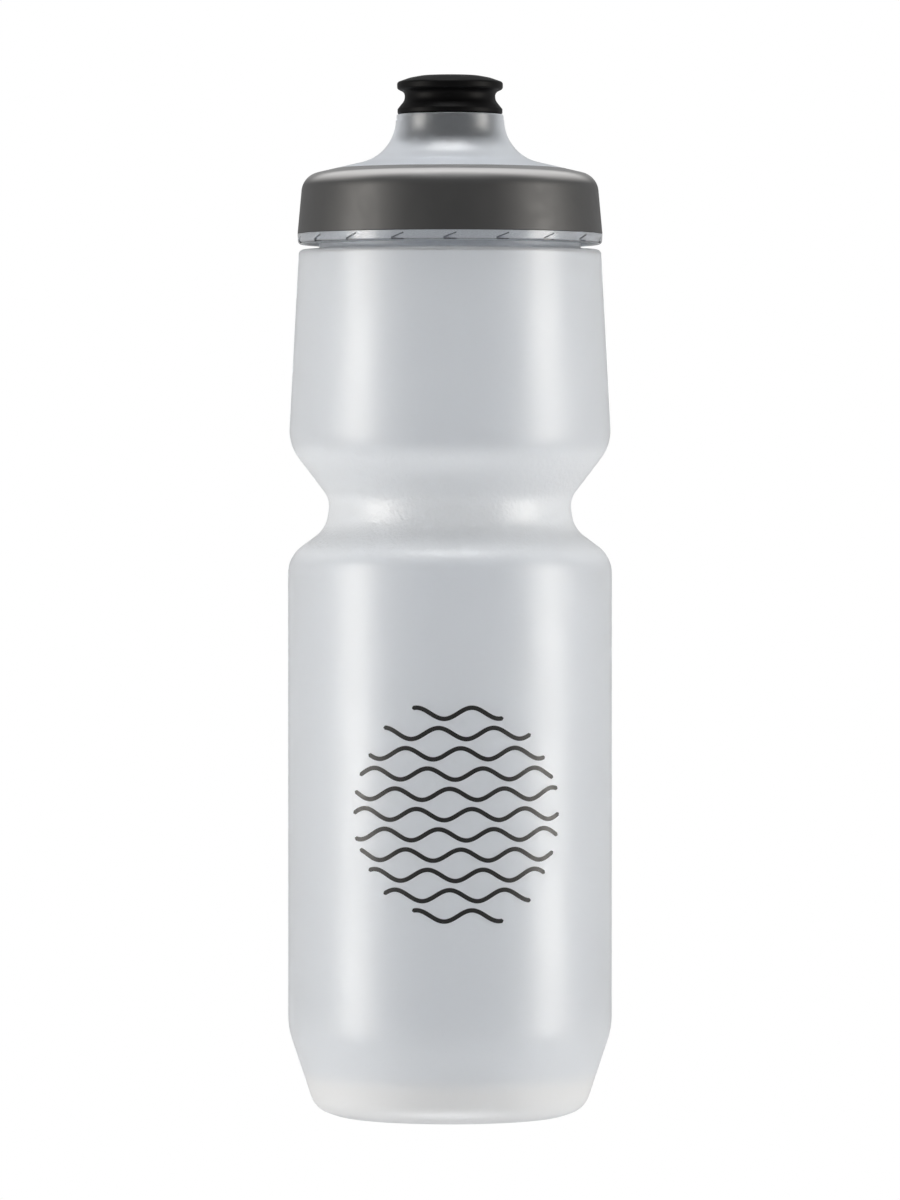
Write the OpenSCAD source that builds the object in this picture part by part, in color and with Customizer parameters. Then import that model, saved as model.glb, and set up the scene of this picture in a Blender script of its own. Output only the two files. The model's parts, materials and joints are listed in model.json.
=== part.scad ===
// Squeeze water bottle for a bicycle cage, with a screw cap and a push-pull nozzle.
// Millimetres, +Z up, origin at the centre of the standing face. The printed side faces -Y.

/* [Bottle] */
// Outside diameter of the straight lower body, which a bottle cage holds
body_d = 74; // [73:0.5:75]
// Wall thickness of the blow-moulded body
bottle_wall = 1.1; // [1:0.1:1.5]
// Height of the flat shoulder under the cap
shoulder_z = 198.2; // [195:0.1:199]
// Outside diameter of the shoulder's edge
shoulder_d = 69; // [68:0.1:70]
// Diameter of the corner between the upper body and the waist's upper flank
chest_d = 73.7; // [73:0.1:74]
// Height of that corner
chest_z = 153.6; // [152:0.1:155]
// Diameter of the corner at the top of the waist's floor
waist_d = 54.7; // [54:0.1:58]
// Height of that corner
waist_top_z = 141.1; // [140.5:0.1:142]
// Height of the corner at the bottom of the waist's floor
waist_low_z = 134.5; // [134:0.1:135]
// Height of the corner between the lower body and the waist's lower flank
hip_z = 128.1; // [127:0.1:129]
// Height of the corner where the base starts to taper
taper_z = 20.2; // [18:0.1:24]
// Angle of the base taper from the vertical
taper_angle = 18.4; // [16:0.1:20]
// Rise of the hollow under the base
punt_h = 2.6; // [2:0.1:3.5]

/* [Neck and thread] */
// Outside diameter of the neck
neck_d = 59.6; // [59:0.1:60]
// Wall thickness of the neck
neck_wall = 1.8; // [1.6:0.1:2.2]
// Height of the neck's rim, which the gasket closes
rim_z = 212.1; // [211.9:0.1:212.2]
// Rise of the thread in one turn
thread_pitch = 6; // [5.5:0.1:6.5]
// How far each thread stands out of its wall
thread_height = 1.4; // [1.2:0.1:1.5]

/* [Cap] */
// Largest outside diameter of the cap, at its skirt
cap_d = 69.9; // [69.4:0.1:70.4]
// Height of the skirt's lower edge
skirt_z = 199.4; // [199.2:0.1:199.7]
// Height of the grip band's lower edge
band_low_z = 201.8; // [201.6:0.1:202.1]
// Thickness of the grip band
band_t = 1.2; // [1.0:0.1:1.3]
// Diameter of the grip band's upper edge, on the cap's top
band_top_d = 52.8; // [50:0.2:55]
// Diameter of the chimney's rim
chimney_d = 24.5; // [24.3:0.1:24.9]
// Height of the chimney's rim
chimney_z = 229.1; // [229:0.1:229.5]
// Radius of the sweep from the cap's top up into the chimney
flare_r = 10.2; // [9:0.1:10.5]
// Number of wedge marks round the skirt
mark_count = 18; // [12:1:24]

/* [Nozzle] */
// Travel of the nozzle from closed to open
nozzle_travel = 5; // [4:0.5:5]
// Diameter of the mouthpiece's top lip
lip_d = 24.2; // [23.8:0.1:24.6]
// Diameter of the mouthpiece's waist
bite_d = 20.7; // [20.4:0.1:21.4]
// Height of the mouthpiece's top
top_z = 238; // [237.8:0.1:238.4]
// Diameter of the drinking hole
mouth_d = 11.2; // [10:0.2:12]

/* [Hidden] */
$fn = 96;

arc_step = 6;          // degrees of arc between two points of a rounded corner
bond_gap = 0.03;       // gap drawn between two bonded or pressed pieces
slide_gap = 0.08;      // radial clearance of a sliding fit
rest_gap = 0.1;        // between two faces that meet at the end of a travel

// Bottle
body_r = body_d / 2;
foot_corner_r = body_r - taper_z * tan(taper_angle);
foot_bend_r = 25.4;    // where the standing face turns up by foot_slope
foot_slope = 20;
foot_corner_z = (foot_corner_r - foot_bend_r) / (1 / tan(foot_slope) - tan(taper_angle));
foot_in_r = 20.5;      // where the standing face ends and the hollow under the base starts
punt_r = 16;           // of the hollow's flat middle
waist_lean = 1;        // how much wider the waist's floor is at its lower corner
neck_r = neck_d / 2;
neck_in_r = neck_r - neck_wall;
pinch_w = 0.8;         // line that the mould's two halves pinch across the base
pinch_h = 0.5;
pinch_l = 26;

// Thread: a trapezoid ridge, the same on the neck and in the cap
ridge_root_w = 2.6;
ridge_crest_w = 1.4;
ridge_sink = 0.4;      // how deep a ridge's root is buried in its wall
thread_step = 10;      // degrees between two sections of a ridge
thread_fade = 30;      // degrees over which a ridge rises out of its wall
thread_low_z = 202.5;
neck_start = 4;        // angle at which the neck's ridge starts
neck_turns = 1.25;
cap_start = 24;
cap_turns = 1.1;
thread_drop = 1.95;    // how far the cap's ridge runs below the neck's when the cap is tight

// Cap
cap_r = cap_d / 2;
draft = 5.25;                              // of the skirt's side, from the vertical
top_slope = 13.2;                          // of the cap's top, from the horizontal
shoulder_corner = [cap_r - 1.3, 215.05];   // where side and top would meet
shoulder_round = 4.6;
chimney_r = chimney_d / 2;
chimney_foot_r = chimney_r + 0.35;
rim_step = 1.4;                            // height of the rim's slightly slimmer ring
bore_r = 10.9;                             // guides the sleeve
chamber_r = 12.2;                          // the sleeve's foot runs in it
chamber_top_z = 223;
collar_r = 13.9;
collar_z = 212.4;
land_z = 213.3;                            // underside that the gasket bears on
cap_in_r = neck_r + thread_height + 0.4;
lip_r = 26.9;                              // sealing lip, inside the neck
lip_h = 1.8;                               // how far the sealing lip reaches down inside the neck
top_wall = 1.4;
mark_w = 2.9;
mark_h = 1.1;
mark_depth = 0.35;
mark_z = skirt_z + 0.55;

// Nozzle
sleeve_r = bore_r - slide_gap;
sleeve_in_r = 9.3;
stem_r = 9;                                // sleeve's upper part, inside the mouthpiece
stem_in_r = 7.4;
stem_z = chimney_z + rest_gap;             // where the closed nozzle comes out of the chimney
foot_z = 215.6;
foot_r = chamber_r - 2 * slide_gap;
foot_h = chamber_top_z - rest_gap - nozzle_travel - foot_z;
sleeve_top_z = 234.9;
seat_z = 230.7;                            // underside of the web that the stopper closes
seat_r = 3.6;
web_t = 1.2;
valve_z = 232.9;                           // ledge that the valve lies on
valve_t = 0.8;
ledge_w = 1;
ring_section = 0.5;                        // radius of the seal ring's own section
ring_r = chamber_r - bond_gap - ring_section;
groove_z = foot_z + foot_h / 2;            // middle of the seal ring's groove

// Stopper insert
stopper_r = seat_r - slide_gap;
stopper_top_z = seat_z + web_t + 0.4;
post_r = 2.4;
hub_r = 3.4;
insert_in_r = 10.6;
insert_top_z = 215.4;
insert_low_z = 211.1;
spoke_w = 1.6;
spoke_h = 3;

// Height of the cap's outer top surface at radius r
function top_at(r) = shoulder_corner.y + (shoulder_corner.x - r) * tan(top_slope);

function unit(v) = v / norm(v);
function left_of(d) = [-d.y, d.x];

// The points of one corner b, rounded with radius r between the edges from a and to c
function corner_points(a, b, c, r) =
    let (u = unit(a - b), v = unit(c - b), half = acos(u * v) / 2)
    r <= 0 ? [b] :
    let (centre = b + unit(u + v) * r / sin(half),
         start = b + u * r / tan(half) - centre,
         turn = (180 - 2 * half) * (cross(v, u) > 0 ? 1 : -1),
         n = max(2, ceil(abs(turn) / arc_step)))
    [for (i = [0:n]) let (t = atan2(start.y, start.x) + turn * i / n) centre + r * [cos(t), sin(t)]];

function xy(p) = [p.x, p.y];

// A closed outline through corners [x, y, rounding radius]
function rounded(corners) =
    let (n = len(corners))
    [for (i = [0:n - 1])
        let (before = corners[(i + n - 1) % n], after = corners[(i + 1) % n])
        each corner_points(xy(before), xy(corners[i]), xy(after), corners[i][2])];

// The corners of an open outline, moved to its left by t, with their radii to match.
// The first and last corners only mark directions and are dropped.
function inset(corners, t) =
    [for (i = [1:len(corners) - 2])
        let (d1 = unit(xy(corners[i]) - xy(corners[i - 1])),
             d2 = unit(xy(corners[i + 1]) - xy(corners[i])),
             n1 = left_of(d1), n2 = left_of(d2),
             p = xy(corners[i]) + t * (n1 + n2) / (1 + n1 * n2),
             r = corners[i][2])
        [p.x, p.y, r == 0 ? 0 : max(0, r + (cross(d1, d2) > 0 ? -t : t))]];

module turned(corners) {
    rotate_extrude() polygon(rounded(corners));
}

// A helical ridge. It grows from root_r to crest_r, which may be inside or outside of root_r.
module thread_ridge(root_r, crest_r, low_z, first_angle, turns) {
    steps = round(turns * 360 / thread_step);
    fade_steps = thread_fade / thread_step;
    side = sign(crest_r - root_r);
    buried_r = root_r - side * ridge_sink;
    function section(i) =
        let (a = first_angle + i * thread_step,
             z = low_z + thread_pitch * a / 360,
             rise = min(1, i / fade_steps, (steps - i) / fade_steps),
             top_r = buried_r + side * 0.1 + rise * (crest_r - buried_r - side * 0.1))
        [for (p = [[buried_r, -ridge_root_w / 2], [top_r, -ridge_crest_w / 2],
                   [top_r, ridge_crest_w / 2], [buried_r, ridge_root_w / 2]])
            [p.x * cos(a), p.x * sin(a), z + p.y]];
    sides = [for (i = [0:steps - 1], k = [0:3])
        let (a = 4 * i + k, b = 4 * i + (k + 1) % 4)
        each [[a, b, b + 4], [a, b + 4, a + 4]]];
    ends = [[3, 2, 1, 0], [for (k = [0:3]) 4 * steps + k]];
    faces = concat(sides, ends);
    polyhedron(
        points = [for (i = [0:steps]) each section(i)],
        faces = side < 0 ? [for (f = faces) [for (k = [len(f) - 1:-1:0]) f[k]]] : faces);
}

// ---- Bottle ----

bottle_outline = [
    [0, punt_h, 0],
    [punt_r, punt_h, 2],
    [foot_in_r, 0, 2],
    [foot_bend_r, 0, 10],
    [foot_corner_r + foot_corner_z * tan(taper_angle), foot_corner_z, 5.5],
    [body_r, taper_z, 17],
    [body_r, hip_z, 7.5],
    [waist_d / 2 + waist_lean, waist_low_z, 7],
    [waist_d / 2, waist_top_z, 5.5],
    [chest_d / 2, chest_z, 10.5],
    [shoulder_d / 2, shoulder_z, 1],
    [neck_r, shoulder_z, 0.8],
    [neck_r, rim_z, 0.5]];

module bottle_shell() {
    outer = [for (i = [0:len(bottle_outline) - 2]) bottle_outline[i]];
    hollow = inset(outer, bottle_wall);
    color([0.80, 0.82, 0.84, 0.6]) {
        turned(concat(
            bottle_outline,
            [[neck_in_r, rim_z, 0.5], [neck_in_r, shoulder_z - bottle_wall, 2]],
            [for (i = [len(hollow) - 1:-1:0]) hollow[i]],
            [[0, punt_h + bottle_wall, 0]]));
        thread_ridge(neck_r, neck_r + thread_height, thread_low_z, neck_start, neck_turns);
        translate([-pinch_l / 2, -pinch_w / 2, punt_h - pinch_h]) cube([pinch_l, pinch_w, 2 * pinch_h]);
    }
}

// ---- Cap ----

module cap_gasket() {
    inner_r = lip_r + bond_gap;
    outer_r = cap_in_r - 2 * rest_gap;
    low_z = rim_z + bond_gap;
    high_z = land_z - bond_gap;
    color([0.93, 0.93, 0.92])
        turned([
            [inner_r, low_z, 0.2], [outer_r, low_z, 0.2],
            [outer_r, high_z, 0.2], [inner_r, high_z, 0.2]]);
}

// Outer surface of the grip band, from its lower edge to its upper edge
band_skin = [
    [shoulder_corner.x + (shoulder_corner.y - band_low_z) * tan(draft), band_low_z, 0],
    [shoulder_corner.x, shoulder_corner.y, shoulder_round],
    [band_top_d / 2, top_at(band_top_d / 2), 0]];

// The recess that the band fills: its skin moved inwards by t
function band_seat(t) =
    let (skin = inset(concat([[band_skin[0].x, 0, 0]], band_skin, [[band_skin[2].x, 300, 0]]), t))
    [[skin[0].x, band_low_z, 0], skin[1],
     [band_top_d / 2, top_at(band_top_d / 2) - t / cos(top_slope), 0]];

module grip_band() {
    seat = band_seat(band_t);
    color([0.30, 0.30, 0.30])
        turned([
            [band_skin[0].x, band_low_z, 0.2],
            band_skin[1],
            [band_skin[2].x, band_skin[2].y, 0.15],
            seat[2], seat[1], seat[0]]);
}

module skirt_marks() {
    for (i = [0:mark_count - 1])
        rotate(i * 360 / mark_count)
            translate([-mark_w / 2, -(cap_r - mark_depth), mark_z])
                rotate([0, 0, -atan(mark_depth / mark_w)])
                    rotate([90, 0, 0])
                        linear_extrude(1) polygon([[0, 0], [mark_w, 0], [mark_w, mark_h]]);
}

module cap_shell() {
    seat = band_seat(band_t + bond_gap);
    under_r = lip_r - 1;
    edge_r = seat[2].x - bond_gap;
    color([0.86, 0.88, 0.90, 0.6]) {
        difference() {
            turned([
                [cap_in_r, skirt_z, 0.4],
                [cap_r - 0.2, skirt_z, 0.9],
                [band_skin[0].x, band_low_z - bond_gap, 0],
                [seat[0].x, band_low_z - bond_gap, 0],
                seat[1],
                [edge_r, seat[2].y, 0],
                [edge_r, top_at(edge_r), 0.15],
                [chimney_foot_r, top_at(chimney_foot_r), flare_r],
                [chimney_r + 0.12, chimney_z - rim_step, 0],
                [chimney_r, chimney_z - rim_step, 0],
                [chimney_r - 0.03, chimney_z, 0.3],
                [bore_r, chimney_z, 0.3],
                [bore_r, chamber_top_z, 0],
                [chamber_r, chamber_top_z, 0],
                [chamber_r, collar_z, 0],
                [collar_r, collar_z, 0.3],
                [collar_r, top_at(collar_r) - top_wall - 0.6, 1],
                [under_r, top_at(under_r) - band_t - top_wall, 1],
                [under_r, land_z - lip_h, 0.2],
                [lip_r, land_z - lip_h, 0.4],
                [lip_r, land_z, 0],
                [cap_in_r, land_z, 0]]);
            skirt_marks();
        }
        thread_ridge(cap_in_r, cap_in_r - thread_height, thread_low_z - thread_drop, cap_start, cap_turns);
    }
}

// Ring, spokes and post, pressed into the collar from below. The post's head closes the nozzle.
module stopper_insert() {
    outer_r = chamber_r - bond_gap;
    flange_z = collar_z - bond_gap;
    color([0.90, 0.91, 0.92]) {
        turned([
            [insert_in_r, insert_low_z, 0.2], [collar_r, insert_low_z, 0.2],
            [collar_r, flange_z, 0], [outer_r, flange_z, 0],
            [outer_r, insert_top_z, 0.2], [insert_in_r, insert_top_z, 0.2]]);
        for (angle = [0, 120, 240])
            rotate(angle)
                translate([0, -spoke_w / 2, insert_low_z]) cube([insert_in_r + 0.5, spoke_w, spoke_h]);
        turned([
            [0, insert_low_z, 0], [hub_r, insert_low_z, 0.5], [post_r, insert_low_z + 1.5 * spoke_h, 2],
            [post_r, seat_z - 1.6, 0], [stopper_r, seat_z - 0.8, 0],
            [stopper_r, stopper_top_z, 1.1], [0, stopper_top_z, 0]]);
    }
}

// ---- Nozzle ----

module nozzle_seal_ring() {
    color([0.12, 0.12, 0.12])
        rotate_extrude() translate([ring_r, groove_z]) circle(r = ring_section);
}

module nozzle_sleeve() {
    groove_r = ring_r - ring_section - bond_gap;
    groove_half = ring_section + bond_gap;
    color([0.08, 0.08, 0.09])
        turned([
            [sleeve_in_r, foot_z, 0.3],
            [foot_r, foot_z, 0.3],
            [foot_r, groove_z - groove_half, 0],
            [groove_r, groove_z - groove_half, 0],
            [groove_r, groove_z + groove_half, 0],
            [foot_r, groove_z + groove_half, 0],
            [foot_r, foot_z + foot_h, 0.2],
            [sleeve_r, foot_z + foot_h, 0],
            [sleeve_r, stem_z, 0.2],
            [stem_r, stem_z, 0],
            [stem_r, sleeve_top_z, 0.3],
            [stem_in_r, sleeve_top_z, 0.2],
            [stem_in_r, valve_z, 0],
            [stem_in_r - ledge_w, valve_z, 0],
            [stem_in_r - ledge_w, seat_z + web_t, 0],
            [seat_r, seat_z + web_t, 0.3],
            [seat_r, seat_z, 0.3],
            [sleeve_in_r, seat_z - 2.6, 1.5]]);
}

module mouthpiece() {
    inner_r = stem_r + bond_gap;
    outer_r = lip_d / 2;
    bite_r = bite_d / 2;
    hole_r = mouth_d / 2;
    color([0.05, 0.05, 0.05])
        turned([
            [inner_r, stem_z + bond_gap, 0],
            [outer_r - 0.1, stem_z + bond_gap, 0.35],
            [outer_r - 0.1, stem_z + 1.15, 0.5],
            [bite_r, stem_z + 3.2, 2.2],
            [bite_r, stem_z + 4.9, 1.2],
            [outer_r, stem_z + 5.75, 0.75],
            [outer_r, stem_z + 7.3, 0.7],
            [outer_r - 2.8, top_z - 0.5, 8],
            [hole_r + 1, top_z, 3],
            [hole_r, top_z, 0.7],
            [hole_r, sleeve_top_z + bond_gap, 0.3],
            [inner_r, sleeve_top_z + bond_gap, 0]]);
}

// Silicone disc, dished from above, with a cross cut through its middle
module slit_valve() {
    disc_r = stem_in_r - bond_gap;
    dish_r = 5;
    dish_depth = 0.35;
    ball_r = (dish_r * dish_r + dish_depth * dish_depth) / (2 * dish_depth);
    slit_l = 4.6;
    slit_w = 0.12;
    top_z = valve_z + valve_t;
    color([0.92, 0.93, 0.93, 0.7])
        difference() {
            turned([
                [0, valve_z + bond_gap, 0], [disc_r, valve_z + bond_gap, 0.15],
                [disc_r, top_z, 0.15], [0, top_z, 0]]);
            translate([0, 0, top_z - dish_depth + ball_r]) sphere(r = ball_r);
            for (angle = [45, 135])
                rotate(angle)
                    translate([-slit_l / 2, -slit_w / 2, valve_z - valve_t])
                        cube([slit_l, slit_w, 3 * valve_t]);
        }
}

module valve_retainer() {
    inner_r = mouth_d / 2 + 0.3;
    outer_r = stem_in_r - bond_gap;
    low_z = valve_z + valve_t + bond_gap;
    color([0.10, 0.10, 0.10])
        turned([
            [inner_r, low_z, 0.2], [outer_r, low_z, 0.1],
            [outer_r, sleeve_top_z, 0.2], [inner_r, sleeve_top_z, 0.4]]);
}

bottle_shell();
cap_gasket();
cap_shell();
grip_band();
stopper_insert();
nozzle_seal_ring();
nozzle_sleeve();
mouthpiece();
slit_valve();
valve_retainer();
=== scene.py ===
# Bicycle squeeze bottle: the looks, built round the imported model.
# Outlines and helper lengths are in millimetres, and MM turns them into metres.
# Heights and radii in the materials are in metres, as a shader's positions are.

import json
from math import atan, ceil, cos, exp, hypot, pi, radians, sin, sqrt, tau

import bmesh
import bpy
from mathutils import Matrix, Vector


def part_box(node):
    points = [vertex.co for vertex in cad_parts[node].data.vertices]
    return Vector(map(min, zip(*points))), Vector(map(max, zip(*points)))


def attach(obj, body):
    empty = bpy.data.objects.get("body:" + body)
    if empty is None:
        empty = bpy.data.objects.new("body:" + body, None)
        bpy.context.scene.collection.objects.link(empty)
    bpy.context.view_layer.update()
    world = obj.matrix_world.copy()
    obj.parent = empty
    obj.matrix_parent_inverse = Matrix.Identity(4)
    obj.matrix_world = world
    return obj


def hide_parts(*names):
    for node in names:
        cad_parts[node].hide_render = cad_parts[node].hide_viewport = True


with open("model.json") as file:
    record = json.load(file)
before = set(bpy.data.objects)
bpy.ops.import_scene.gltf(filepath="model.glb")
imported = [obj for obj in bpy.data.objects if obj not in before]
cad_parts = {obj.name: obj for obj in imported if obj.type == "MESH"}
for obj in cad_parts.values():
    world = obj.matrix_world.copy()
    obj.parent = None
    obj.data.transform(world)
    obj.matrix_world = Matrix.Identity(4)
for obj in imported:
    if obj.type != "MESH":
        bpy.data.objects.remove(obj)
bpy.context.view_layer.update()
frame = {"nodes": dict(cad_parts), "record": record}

MM = 0.001
RIM_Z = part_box("bottle_shell")[1].z / MM
BODY_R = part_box("bottle_shell")[1].x / MM
SKIRT_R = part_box("cap_shell")[1].x / MM

# ---- Outlines ----


def half_section(node):
    """Closed outline of a turned CAD node as (r, z) in mm, counter-clockwise, cut at y = 0, x > 0."""
    bm = bmesh.new()
    bm.from_mesh(frame["nodes"][node].data)
    bmesh.ops.remove_doubles(bm, verts=bm.verts[:], dist=1e-6)
    geom = bm.verts[:] + bm.edges[:] + bm.faces[:]
    plane = {"plane_co": (0, 0, 0), "plane_no": (0, 1, 0)}
    cut = bmesh.ops.bisect_plane(bm, geom=geom, dist=2e-6, **plane)["geom_cut"]
    links = {}
    for e in cut:
        if isinstance(e, bmesh.types.BMEdge) and all(v.co.x > -1e-6 for v in e.verts):
            a, b = e.verts
            links.setdefault(a, []).append(b)
            links.setdefault(b, []).append(a)
    start = min(links, key=lambda v: (len(links[v]), v.co.z))
    loop, seen, here = [start], {start}, start
    while True:
        onward = [v for v in links[here] if v not in seen]
        if not onward:
            break
        here = onward[0]
        seen.add(here)
        loop.append(here)
    points = [(v.co.x / MM, v.co.z / MM) for v in loop]
    bm.free()
    turned_area = sum(a[0] * b[1] - b[0] * a[1] for a, b in zip(points, points[1:] + points[:1]))
    return points if turned_area > 0 else points[::-1]


def thinned(points, off=0.003, step=4.0):
    """The outline without points within `off` mm of the line past them, and with no step over `step` mm."""
    kept = [points[0]]
    for i in range(1, len(points)):
        a, p, b = kept[-1], points[i], points[(i + 1) % len(points)]
        length = hypot(b[0] - a[0], b[1] - a[1])
        side = abs((b[0] - a[0]) * (p[1] - a[1]) - (b[1] - a[1]) * (p[0] - a[0])) / max(length, 1e-9)
        if side > off or length > step:
            kept.append(p)
    return kept


def refined(points, low, high, step):
    """The outline with extra points on its stretches between heights low and high."""
    out = []
    for a, b in zip(points, points[1:] + points[:1]):
        out.append(a)
        if min(a[1], b[1]) >= low and max(a[1], b[1]) <= high:
            n = ceil(hypot(b[0] - a[0], b[1] - a[1]) / step)
            out += [(a[0] + (b[0] - a[0]) * i / n, a[1] + (b[1] - a[1]) * i / n) for i in range(1, n)]
    return out


def even_columns(count):
    """Angles of evenly spaced columns of a turned mesh."""
    return [tau * i / count for i in range(count)]


def seam_columns(count, seams):
    """Even columns, and close ones round each mould seam."""
    near = [radians(d) for d in (0.0, 0.1, 0.2, 0.32, 0.5, 0.8)]
    clear = radians(1.0)
    extra = [(s + sign * d) % tau for s in seams for d in near for sign in (1, -1)]
    spaced = [a for a in even_columns(count) if min(turn_between(a, s) for s in seams) > clear]
    return sorted(set(round(a, 9) for a in spaced + extra))


def turn_between(first, second):
    """The smaller angle between two directions."""
    return abs((first - second + pi) % tau - pi)


def add_mesh(name, verts, faces, smooth_angle=35):
    """A new smooth-shaded object from points in mm, sharp where faces meet at over smooth_angle degrees."""
    mesh = bpy.data.meshes.new(name)
    mesh.from_pydata([Vector(v) * MM for v in verts], [], faces)
    bm = bmesh.new()
    bm.from_mesh(mesh)
    bmesh.ops.remove_doubles(bm, verts=bm.verts[:], dist=1e-7)
    bmesh.ops.dissolve_degenerate(bm, edges=bm.edges[:], dist=1e-8)
    bm.to_mesh(mesh)
    bm.free()
    mesh.polygons.foreach_set("use_smooth", [True] * len(mesh.polygons))
    mesh.set_sharp_from_angle(angle=radians(smooth_angle))
    piece = bpy.data.objects.new(name, mesh)
    bpy.context.scene.collection.objects.link(piece)
    return piece


def face_outwards(piece):
    """Turns every face of a closed mesh to look outwards."""
    bm = bmesh.new()
    bm.from_mesh(piece.data)
    bmesh.ops.recalc_face_normals(bm, faces=bm.faces[:])
    bm.to_mesh(piece.data)
    bm.free()


def turned(name, outline, columns, shape=None):
    """Turns a closed (r, z) outline round Z. shape(i, r, z, angle) is how far (dr, dz) point i moves there."""
    n = len(outline)
    verts = []
    for angle in columns:
        for i, (r, z) in enumerate(outline):
            dr, dz = shape(i, r, z, angle) if shape else (0.0, 0.0)
            verts.append(((r + dr) * cos(angle), (r + dr) * sin(angle), z + dz))
    faces = []
    for c in range(len(columns)):
        a, b = c * n, (c + 1) % len(columns) * n
        for i in range(n):
            j = (i + 1) % n
            if outline[i][0] > 1e-6 or outline[j][0] > 1e-6:
                faces.append((a + i, b + i, b + j, a + j))
    return add_mesh(name, verts, faces)


def plain(name, node, body, count=192):
    """A CAD node turned again with a finer mesh."""
    piece = turned(name, thinned(half_section(node)), even_columns(count))
    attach(piece, body)
    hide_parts(node)
    return piece


# ---- Threads ----

THREAD_PITCH = next(c["ratio"] for c in frame["record"]["behaviour"]["couplings"]) * tau / MM
THREAD_HEIGHT = 1.4
THREAD_FOOT = 1.2
THREAD_FLANK = 0.5
THREAD_FADE = radians(30)
NECK_THREAD = {"low": 202.5, "first": radians(4), "last": radians(454)}
CAP_THREAD = {"low": 200.55, "first": radians(24), "last": radians(424)}


def ridge_height(thread, angle, z):
    """How far the thread's ridge stands out of its wall at this angle and height."""
    best = 0.0
    for turn in range(3):
        a = angle + tau * turn
        if not thread["first"] <= a <= thread["last"]:
            continue
        away = abs(z - thread["low"] - THREAD_PITCH * a / tau)
        rise = min(1.0, (THREAD_FOOT - away) / THREAD_FLANK)
        fade = min(1.0, (a - thread["first"]) / THREAD_FADE, (thread["last"] - a) / THREAD_FADE)
        best = max(best, THREAD_HEIGHT * min(rise, fade))
    return best


# ---- Bottle ----

NECK_R = 29.8
NECK_Z = 199.3
HOLLOW_Z = 2.6
PINCH_R = 14
PINCH_REACH = 13
PINCH_DEPTH = 0.5
SEAMS = (0.0, pi)
SEAM_HEIGHT = 0.05
SEAM_WIDTH = 0.14


def bottle():
    """The bottle, with its thread, its two mould seams and the pinch line under its base."""
    section = [p for p in half_section("bottle_shell") if not (p[0] < PINCH_R and p[1] < HOLLOW_Z - 0.01)]
    section = [p for p in section if not (p[1] > NECK_Z and p[0] > NECK_R + 0.01)]
    start = min(range(len(section)), key=lambda i: (section[i][0] > 0.01, section[i][1]))
    section = section[start:] + section[:start]
    outline = thinned([(0.0, HOLLOW_Z)] + section)
    outline = refined(outline, HOLLOW_Z - 0.2, HOLLOW_Z + 0.2, 1.0)
    outline = refined(outline, NECK_Z - 0.1, RIM_Z - 0.5, 0.3)
    rim = max(range(len(outline)), key=lambda i: outline[i][1])

    def shape(i, r, z, angle):
        inside = i > rim
        if inside:
            return 0.0, 0.0
        if z < HOLLOW_Z + 0.1 and r < PINCH_R:
            x, y = r * cos(angle), r * sin(angle)
            pinch = max(0.0, min(1.0, (0.65 - abs(y)) / 0.3, (PINCH_REACH - abs(x)) / 1.5))
            return 0.0, -PINCH_DEPTH * pinch
        if z > NECK_Z and abs(r - NECK_R) < 0.02:
            return ridge_height(NECK_THREAD, angle, z), 0.0
        across = r * min(turn_between(angle, s) for s in SEAMS)
        return SEAM_HEIGHT * exp(-((across / SEAM_WIDTH) ** 2)), 0.0

    piece = turned("bottle_body", outline, seam_columns(288, SEAMS), shape)
    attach(piece, "bottle")
    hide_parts("bottle_shell")
    return piece


# ---- Cap ----

CAP_INNER_R = 31.6
CAP_THREAD_TOP = 211.5
MARK_COUNT = 18
MARK_Z = 199.95
MARK_WIDTH = 2.9
MARK_HEIGHT = 1.1
MARK_RAMP_DEPTH = 0.35
MARK_GROOVE_DEPTH = 0.6
MARK_GROOVE_WIDTH = 0.28


def mark_cutter(lean, deep, flat):
    """Prisms round the skirt that cut `deep` mm into it. flat is their outline as (x, z) from the front."""
    reach, n = 1.0, len(flat)
    verts, faces = [], []
    for k in range(MARK_COUNT):
        spin = tau * k / MARK_COUNT
        first = len(verts)
        for out in (0.0, reach):
            for x, z in flat:
                px = -MARK_WIDTH / 2 + x * cos(lean) - out * sin(lean)
                py = -(SKIRT_R - deep) - x * sin(lean) - out * cos(lean)
                turned_x, turned_y = px * cos(spin) - py * sin(spin), px * sin(spin) + py * cos(spin)
                verts.append((turned_x, turned_y, MARK_Z + z))
        faces.append(tuple(first + i for i in range(n)))
        faces.append(tuple(first + n + i for i in reversed(range(n))))
        for i in range(n):
            j = (i + 1) % n
            faces.append((first + i, first + n + i, first + n + j, first + j))
    cutter = add_mesh("mark_cutter", verts, faces)
    face_outwards(cutter)
    return cutter


def cut_marks(piece):
    """Cuts each wedge mark: a ramp that gets shallower to the right, and a groove along each leg."""
    wide, high, groove = MARK_WIDTH, MARK_HEIGHT, MARK_GROOVE_WIDTH
    lean = atan(MARK_RAMP_DEPTH / wide)
    cut_away(piece, mark_cutter(lean, MARK_RAMP_DEPTH, [(0, 0), (wide, 0), (wide, high)]))
    lower_leg = [(0, -groove), (wide, -groove), (wide, 0), (0, 0)]
    cut_away(piece, mark_cutter(0, MARK_GROOVE_DEPTH, lower_leg))
    upper_leg = [(0, 0.02), (wide, high), (wide, high + groove), (0, groove + 0.02)]
    cut_away(piece, mark_cutter(0, MARK_GROOVE_DEPTH, upper_leg))


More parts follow.
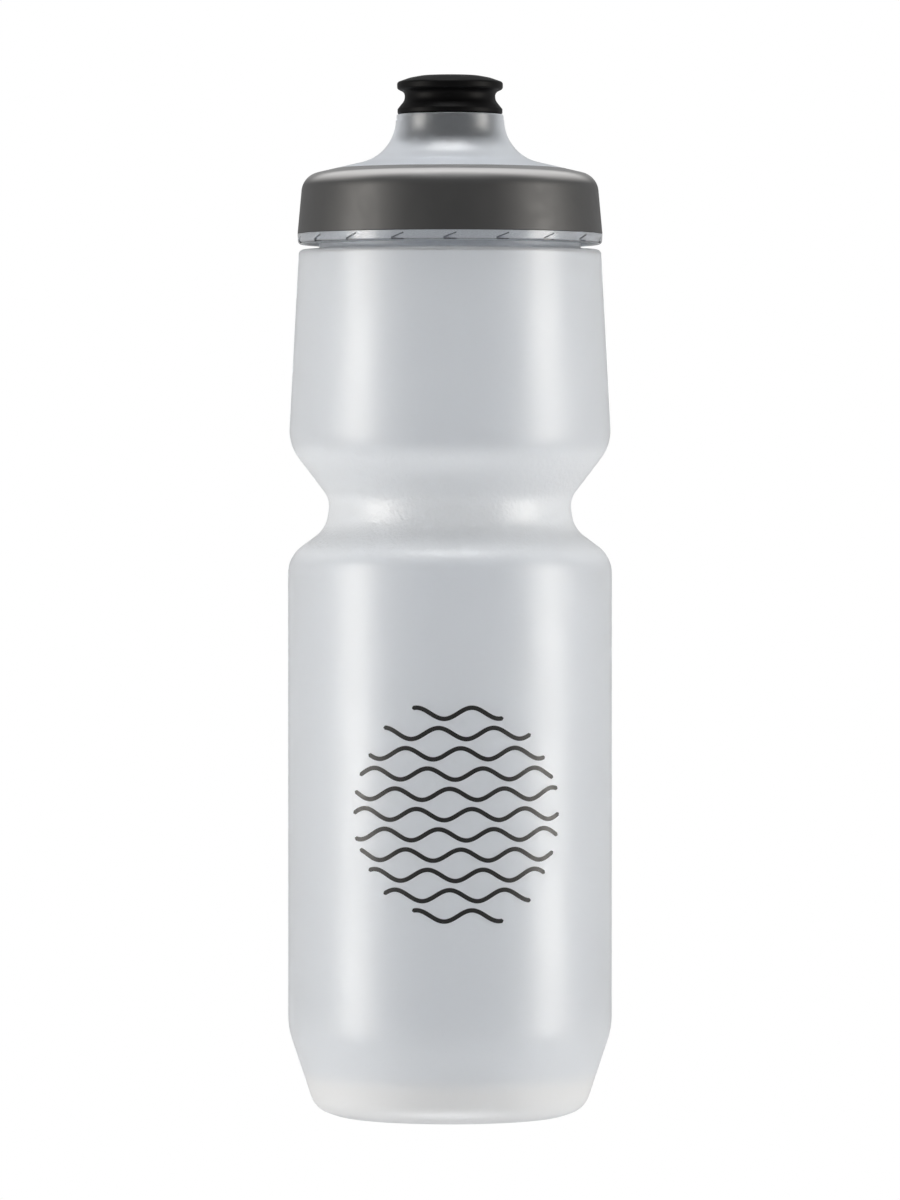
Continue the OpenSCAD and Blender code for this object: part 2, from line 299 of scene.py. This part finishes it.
def cut_away(piece, cutter):
    """Takes the cutter out of the piece for good."""
    mod = piece.modifiers.new("cut", "BOOLEAN")
    mod.operation = "DIFFERENCE"
    mod.solver = "EXACT"
    mod.object = cutter
    graph = bpy.context.evaluated_depsgraph_get()
    mesh = bpy.data.meshes.new_from_object(piece.evaluated_get(graph))
    piece.modifiers.clear()
    piece.data = mesh
    mesh.polygons.foreach_set("use_smooth", [True] * len(mesh.polygons))
    mesh.set_sharp_from_angle(angle=radians(30))
    bpy.data.objects.remove(cutter)


def cap():
    """The clear screw cap, with its thread and its wedge marks."""

    def on_thread(r, z):
        return z < 211 and 25 < r < CAP_INNER_R - 0.01

    section = [p for p in half_section("cap_shell") if not on_thread(*p)]
    outline = refined(thinned(section), 199.6, CAP_THREAD_TOP, 0.3)

    def shape(i, r, z, angle):
        if abs(r - CAP_INNER_R) < 0.02 and 199.9 < z < CAP_THREAD_TOP:
            return -ridge_height(CAP_THREAD, angle, z), 0.0
        return 0.0, 0.0

    piece = turned("cap_body", outline, even_columns(288), shape)
    cut_marks(piece)
    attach(piece, "cap")
    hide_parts("cap_shell")
    return piece


# ---- Print ----

INK_LIFT = 0.03
INK_ROOT = 0.05
DISC_ARC = 1.8
DISC_Z = 70.6
DISC_R = 25.0
WAVE_ROWS = 11
WAVE_HEIGHT = 1.25
WAVE_LENGTH = 12.5
WAVE_STAGGER = 1.1
WAVE_STROKE = 1.0


def stroke(path, width, round_ends=True):
    """A line of ink on the lower body. path is (arc, z) in mm, arc 0 at the front and growing to +X."""
    lengths = [0.0]
    for a, b in zip(path, path[1:]):
        lengths.append(lengths[-1] + hypot(b[0] - a[0], b[1] - a[1]))
    verts, faces = [], []
    for k, (s, z) in enumerate(path):
        a, b = path[max(k - 1, 0)], path[min(k + 1, len(path) - 1)]
        length = hypot(b[0] - a[0], b[1] - a[1])
        nx, nz = -(b[1] - a[1]) / length, (b[0] - a[0]) / length
        half = width / 2
        if round_ends:
            from_end = min(lengths[k], lengths[-1] - lengths[k])
            half *= sqrt(max(0.02, 1 - max(0.0, 1 - from_end / half) ** 2))
        for r in (BODY_R - INK_ROOT, BODY_R + INK_LIFT):
            for side in (-1, 1):
                arc = (s + nx * half * side) / BODY_R - pi / 2
                verts.append((r * cos(arc), r * sin(arc), z + nz * half * side))
    for k in range(len(path) - 1):
        a, b = 4 * k, 4 * (k + 1)
        faces += [(a + 2, b + 2, b + 3, a + 3), (a, a + 1, b + 1, b)]
        faces += [(a, b, b + 2, a + 2), (a + 1, a + 3, b + 3, b + 1)]
    last = 4 * (len(path) - 1)
    faces += [(0, 2, 3, 1), (last, last + 1, last + 3, last + 2)]
    return verts, faces


def joined(name, strokes):
    """One piece from several strokes."""
    verts, faces = [], []
    for v, f in strokes:
        first = len(verts)
        verts += v
        faces += [tuple(i + first for i in face) for face in f]
    piece = add_mesh(name, verts, faces)
    face_outwards(piece)
    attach(piece, "bottle")
    return piece


def front_print():
    """Wave lines that fill a disc."""
    pitch = 2 * DISC_R / WAVE_ROWS
    strokes = []
    for k in range(WAVE_ROWS):
        dz = (k - (WAVE_ROWS - 1) / 2) * pitch
        half = sqrt(DISC_R**2 - dz**2)
        steps = ceil(half * 6)
        path = []
        for i in range(steps + 1):
            x = -half + 2 * half * i / steps
            wave = WAVE_HEIGHT * sin(tau * (x + WAVE_STAGGER * dz) / WAVE_LENGTH)
            path.append((DISC_ARC + x, DISC_Z + dz + wave))
        strokes.append(stroke(path, WAVE_STROKE))
    return joined("front_print", strokes)


def dashes(count, pitch, length, z, width):
    """A row of square-ended dashes on the far side."""
    first = pi * BODY_R - 12.5
    starts = [first + pitch * k for k in range(count)]
    return [stroke([(s, z), (s + length / 2, z), (s + length, z)], width, round_ends=False) for s in starts]


def back_print():
    """A row of short dashes, with a finer row under it."""
    coarse = dashes(9, 3.1, 1.5, 93.2, 1.7)
    fine = dashes(16, 1.75, 1.0, 90.4, 0.6)
    return joined("back_print", coarse + fine)


# ---- Shader helpers ----


def new_material(name):
    mat = bpy.data.materials.new(name)
    mat.use_nodes = True
    tree = mat.node_tree
    return mat, tree, tree.nodes["Principled BSDF"]


def node(tree, kind, **values):
    """A shader node. Values name its settings, or its inputs with _ for a space."""
    made = tree.nodes.new("ShaderNode" + kind)
    for key, value in values.items():
        if hasattr(made, key):
            setattr(made, key, value)
        else:
            made.inputs[key.replace("_", " ")].default_value = value
    return made


def object_position(tree):
    return node(tree, "TexCoord").outputs["Object"]


def height_of(tree, where):
    split = node(tree, "SeparateXYZ")
    tree.links.new(where, split.inputs["Vector"])
    return split.outputs["Z"]


def radius_of(tree, where):
    """Distance from the Z axis."""
    flat = node(tree, "VectorMath", operation="MULTIPLY")
    flat.inputs[1].default_value = (1, 1, 0)
    tree.links.new(where, flat.inputs[0])
    length = node(tree, "VectorMath", operation="LENGTH")
    tree.links.new(flat.outputs["Vector"], length.inputs[0])
    return length.outputs["Value"]


def grazing(tree):
    """0 where the surface faces the eye, 1 at its outline."""
    return node(tree, "LayerWeight", Blend=0.5).outputs["Facing"]


def ramp(tree, value, start, end, low, high):
    """A smooth change from low to high as value goes from start to end."""
    step = node(tree, "MapRange", interpolation_type="SMOOTHSTEP")
    for socket, number in zip(("From Min", "From Max", "To Min", "To Max"), (start, end, low, high)):
        step.inputs[socket].default_value = number
    tree.links.new(value, step.inputs["Value"])
    return step.outputs["Result"]


def combined(tree, operation, first, second):
    """Two sockets or numbers put through one sum."""
    both = node(tree, "Math", operation=operation)
    for socket, value in zip(both.inputs, (first, second)):
        if isinstance(value, (int, float)):
            socket.default_value = value
        else:
            tree.links.new(value, socket)
    return both.outputs["Value"]


def between(tree, value, rise, fall):
    """1 from the end of rise to the start of fall, and 0 outside them."""
    return combined(tree, "MULTIPLY", ramp(tree, value, *rise, 0, 1), ramp(tree, value, *fall, 1, 0))


def mixed(tree, share, first, second):
    """A colour that goes from first to second as share goes from 0 to 1."""
    mix = node(tree, "MixRGB", Color1=(*first, 1), Color2=(*second, 1))
    tree.links.new(share, mix.inputs["Fac"])
    return mix.outputs["Color"]


def grain(tree, where, scale, detail=2.0):
    noise = node(tree, "TexNoise", Scale=scale, Detail=detail)
    tree.links.new(where, noise.inputs["Vector"])
    return noise.outputs["Fac"]


def uneven(tree, where, scale, detail, low, high):
    """A value that wanders between low and high over the surface."""
    return ramp(tree, grain(tree, where, scale, detail), 0.3, 0.7, low, high)


def bump(tree, shader, height, strength, distance):
    bumps = node(tree, "Bump", Distance=distance)
    if isinstance(strength, (int, float)):
        bumps.inputs["Strength"].default_value = strength
    else:
        tree.links.new(strength, bumps.inputs["Strength"])
    tree.links.new(height, bumps.inputs["Height"])
    tree.links.new(bumps.outputs["Normal"], shader.inputs["Normal"])


# ---- Materials ----

BODY_COLOUR = (0.905, 0.935, 0.975)
BASE_COLOUR = (0.921, 0.932, 0.947)
BODY_CLARITY = 0.72
TAPER_CLARITY = 0.64
BASE_CLARITY = 0.55
WAIST_CLOUDING = 0.22
WAIST_POLISH = 0.04
WAIST_GRAIN = 0.6

CAP_COLOUR = (0.79, 0.83, 0.885)
# Painted shade: the dark colour put into the wedge marks' grooves.
GROOVE_SHADE_COLOUR = (0.12, 0.125, 0.135)
SKIRT_CLARITY = 0.78
FLARE_CLARITY = 0.55
CHIMNEY_CLARITY = 0.93

BAND_COLOUR = (0.0285, 0.029, 0.030)
# Painted highlight: the lit colour given to the band's top slope.
BAND_TOP_HIGHLIGHT_COLOUR = (0.42, 0.42, 0.424)


def ldpe():
    """Frosted polyethylene: satin, milky, whiter at the thick base, with orange-peel grain at the waist."""
    mat, tree, shader = new_material("frosted_ldpe")
    shader.inputs["IOR"].default_value = 1.5
    where = object_position(tree)
    z = height_of(tree, where)
    waist = between(tree, z, (0.126, 0.130), (0.150, 0.155))
    satin = uneven(tree, where, 35, 3, 0.34, 0.40)
    rough = combined(tree, "SUBTRACT", satin, combined(tree, "MULTIPLY", waist, WAIST_POLISH))
    tree.links.new(rough, shader.inputs["Roughness"])
    wavy = combined(tree, "ADD", z, combined(tree, "MULTIPLY", grain(tree, where, 90), 0.0012))
    above_base = ramp(tree, wavy, 0.0075, 0.0125, 0, 1)
    tree.links.new(mixed(tree, above_base, BASE_COLOUR, BODY_COLOUR), shader.inputs["Base Color"])
    base_part = ramp(tree, above_base, 0, 1, BASE_CLARITY, TAPER_CLARITY)
    body_part = ramp(tree, z, 0.014, 0.027, 0, BODY_CLARITY - TAPER_CLARITY)
    clarity = combined(tree, "ADD", base_part, body_part)
    clarity = combined(tree, "SUBTRACT", clarity, combined(tree, "MULTIPLY", waist, WAIST_CLOUDING))
    tree.links.new(clarity, shader.inputs["Transmission Weight"])
    bump(tree, shader, grain(tree, where, 1100), combined(tree, "MULTIPLY", waist, WAIST_GRAIN), 0.0003)
    return mat


def clear_pp():
    """Frosted polypropylene: nearly clear in the chimney, milky in the flare, painted shade in the wedge
    marks' grooves.
    """
    mat, tree, shader = new_material("clear_pp")
    shader.inputs["IOR"].default_value = 1.49
    where = object_position(tree)
    z = height_of(tree, where)
    # Painted shade: the grooves of the wedge marks are coloured dark where shade falls in them.
    in_groove = between(tree, radius_of(tree, where), (0.0340, 0.0342), (0.0345, 0.0348))
    at_marks = between(tree, z, (0.1995, 0.1997), (0.2014, 0.2016))
    painted_groove_shade = combined(tree, "MULTIPLY", in_groove, at_marks)
    tree.links.new(mixed(tree, painted_groove_shade, CAP_COLOUR, GROOVE_SHADE_COLOUR), shader.inputs["Base Color"])
    tree.links.new(ramp(tree, z, 0.2018, 0.205, 0.22, 0.32), shader.inputs["Roughness"])
    body = ramp(tree, z, 0.2018, 0.203, SKIRT_CLARITY, FLARE_CLARITY)
    chimney = ramp(tree, z, 0.2205, 0.2240, 0, 1)
    gain = ramp(tree, grazing(tree), 0.25, 0.95, CHIMNEY_CLARITY - FLARE_CLARITY, 0.0)
    clarity = combined(tree, "ADD", combined(tree, "MULTIPLY", chimney, gain), body)
    tree.links.new(clarity, shader.inputs["Transmission Weight"])
    bump(tree, shader, grain(tree, where, 900), ramp(tree, z, 0.213, 0.2165, 0.0, 0.06), 0.0003)
    return mat


def soft_grey():
    """Soft-touch rubber with a fine grain. Its top slope has a painted highlight, paler where it is seen at a
    slant.
    """
    mat, tree, shader = new_material("soft_grey")
    where = object_position(tree)
    # Painted highlight: the top slope is coloured paler as if lit from overhead, less so when seen from
    # straight above and near the outline.
    top = ramp(tree, height_of(tree, where), 0.2128, 0.2152, 0, 1)
    slant = grazing(tree)
    not_from_above = ramp(tree, slant, 0.2, 0.45, 0.25, 1)
    not_at_outline = ramp(tree, slant, 0.66, 0.84, 1, 0.3)
    painted_top_highlight = combined(tree, "MULTIPLY", top, combined(tree, "MULTIPLY", not_from_above, not_at_outline))
    tree.links.new(mixed(tree, painted_top_highlight, BAND_COLOUR, BAND_TOP_HIGHLIGHT_COLOUR), shader.inputs["Base Color"])
    tree.links.new(uneven(tree, where, 250, 4, 0.44, 0.5), shader.inputs["Roughness"])
    bump(tree, shader, grain(tree, where, 6000), 0.12, 0.00005)
    return mat


def black_rubber(name, roughness):
    """Near-black plastic or rubber with little shine."""
    mat, tree, shader = new_material(name)
    where = object_position(tree)
    shader.inputs["Base Color"].default_value = (0.0022, 0.0022, 0.0024, 1)
    shader.inputs["Specular IOR Level"].default_value = 0.07
    tree.links.new(uneven(tree, where, 300, 4, roughness, roughness + 0.08), shader.inputs["Roughness"])
    bump(tree, shader, grain(tree, where, 6000), 0.1, 0.00005)
    return mat


def silicone(name, colour):
    """Cloudy silicone or white moulded plastic."""
    mat, tree, shader = new_material(name)
    where = object_position(tree)
    shader.inputs["Base Color"].default_value = (*colour, 1)
    shader.inputs["Transmission Weight"].default_value = 0.3
    tree.links.new(uneven(tree, where, 200, 3, 0.38, 0.5), shader.inputs["Roughness"])
    bump(tree, shader, grain(tree, where, 3000), 0.1, 0.00005)
    return mat


def ink():
    """Black print."""
    mat, tree, shader = new_material("print_ink")
    where = object_position(tree)
    shader.inputs["Base Color"].default_value = (0.006, 0.006, 0.006, 1)
    tree.links.new(uneven(tree, where, 700, 3, 0.36, 0.5), shader.inputs["Roughness"])
    bump(tree, shader, grain(tree, where, 9000), 0.15, 0.00002)
    return mat


def dress(piece, mat):
    """Gives the whole piece one material."""
    if piece.data.materials:
        for slot in piece.material_slots:
            slot.material = mat
    else:
        piece.data.materials.append(mat)


# ---- Studio ----

WARM = (1, 0.96, 0.9)
FRONT_LEVEL = 0.2
BACK_LEVEL = 0.45
FLOOR_LEVEL = 0.55
LEFT_LEVEL = 8.93
RIGHT_LEVEL = 8.272
OVER_LEVEL = 9.0
UNDER_LEVEL = 4.0
FLOOR_HALF = 2500
FLOOR_Z = -0.2


def softbox(name, place, aim, size, radiance, colour=(1, 1, 1)):
    """A rectangular light at place, turned to aim, in metres. size is its width and height."""
    light = bpy.data.lights.new(name, "AREA")
    light.color = colour
    light.shape = "RECTANGLE"
    light.size, light.size_y = size
    light.energy = radiance * size[0] * size[1] * pi
    lamp = bpy.data.objects.new(name, light)
    lamp.location = place
    lamp.visible_camera = False
    lamp.rotation_euler = (Vector(aim) - Vector(place)).to_track_quat("-Z", "Y").to_euler()
    bpy.context.scene.collection.objects.link(lamp)


def room():
    """White to the camera. Everything else sees a room with a bright back, a dim front and a pale floor."""
    world = bpy.data.worlds.new("studio")
    bpy.context.scene.world = world
    world.use_nodes = True
    tree = world.node_tree
    backdrop = tree.nodes["Background"]
    backdrop.inputs["Color"].default_value = (1, 1, 1, 1)
    walls = node(tree, "Background", Color=(1, 1, 1, 1))
    split = node(tree, "SeparateXYZ")
    tree.links.new(node(tree, "TexCoord").outputs["Generated"], split.inputs["Vector"])
    round_level = ramp(tree, split.outputs["Y"], -0.35, 0.75, FRONT_LEVEL, BACK_LEVEL)
    above = ramp(tree, split.outputs["Z"], -0.15, 0.02, 0, 1)
    below = ramp(tree, split.outputs["Z"], -0.15, 0.02, FLOOR_LEVEL, 0)
    level = combined(tree, "ADD", combined(tree, "MULTIPLY", round_level, above), below)
    tree.links.new(level, walls.inputs["Strength"])
    mix = node(tree, "MixShader")
    tree.links.new(node(tree, "LightPath").outputs["Is Camera Ray"], mix.inputs[0])
    tree.links.new(walls.outputs[0], mix.inputs[1])
    tree.links.new(backdrop.outputs[0], mix.inputs[2])
    tree.links.new(mix.outputs[0], tree.nodes["World Output"].inputs["Surface"])


def white_floor():
    """A plain floor that only the camera sees, so that it hides no light."""
    corners = [(x * FLOOR_HALF, y * FLOOR_HALF, FLOOR_Z) for x, y in ((-1, -1), (1, -1), (1, 1), (-1, 1))]
    floor = add_mesh("floor", corners, [(0, 1, 2, 3)])
    mat, _, shader = new_material("white_floor")
    shader.inputs["Base Color"].default_value = (0, 0, 0, 1)
    shader.inputs["Specular IOR Level"].default_value = 0
    shader.inputs["Emission Color"].default_value = (1, 1, 1, 1)
    shader.inputs["Emission Strength"].default_value = 1
    floor.visible_diffuse = False
    floor.visible_glossy = False
    floor.visible_transmission = False
    floor.visible_shadow = False
    dress(floor, mat)


def camera():
    """The eye: in front of the bottle, a little over half its height, looking down by about a degree."""
    scene = bpy.context.scene
    lens = bpy.data.cameras.new("camera")
    lens.lens = 228.5
    lens.sensor_width = 36
    lens.clip_end = 20
    eye = bpy.data.objects.new("camera", lens)
    eye.location = (0, -1.743, 0.1466)
    eye.rotation_euler = (radians(90 - 0.936), 0, 0)
    scene.collection.objects.link(eye)
    scene.camera = eye


def studio():
    """Tall boxes to the left and right, one overhead and one under the floor."""
    scene = bpy.context.scene
    scene.view_settings.view_transform = "Standard"
    scene.view_settings.look = "None"
    room()
    white_floor()
    softbox("left_box", (-0.94, -0.35, 0.2), (0, 0, 0.2), (0.4, 0.96), LEFT_LEVEL, WARM)
    softbox("right_box", (0.96, -0.28, 0.2), (0, 0, 0.2), (0.42, 0.96), RIGHT_LEVEL, WARM)
    softbox("over_box", (0, -0.08, 1.3), (0, -0.08, 0), (0.7, 0.55), OVER_LEVEL)
    softbox("under_box", (0, -0.08, -0.9), (0, -0.08, 0), (0.55, 0.55), UNDER_LEVEL)
    camera()


# ---- Build ----

body = bottle()
cap_body = cap()
band = plain("band", "grip_band", "cap", 288)
mouth = plain("drinking_tip", "mouthpiece", "nozzle")
sleeve = plain("sleeve", "nozzle_sleeve", "nozzle")
gasket = plain("gasket", "cap_gasket", "gasket")
ring = plain("seal_ring", "nozzle_seal_ring", "seal_ring")
retainer = plain("retainer", "valve_retainer", "nozzle")
front = front_print()
back = back_print()

black = black_rubber("black_soft", 0.42)
black_hard = black_rubber("black_hard", 0.5)
black_print = ink()
dress(body, ldpe())
dress(cap_body, clear_pp())
dress(band, soft_grey())
dress(mouth, black)
dress(sleeve, black_hard)
dress(ring, black)
dress(retainer, black_hard)
dress(gasket, silicone("gasket_white", (0.85, 0.85, 0.84)))
dress(frame["nodes"]["slit_valve"], silicone("valve_clear", (0.8, 0.82, 0.82)))
dress(frame["nodes"]["stopper_insert"], silicone("insert_white", (0.85, 0.86, 0.88)))
dress(front, black_print)
dress(back, black_print)
studio()
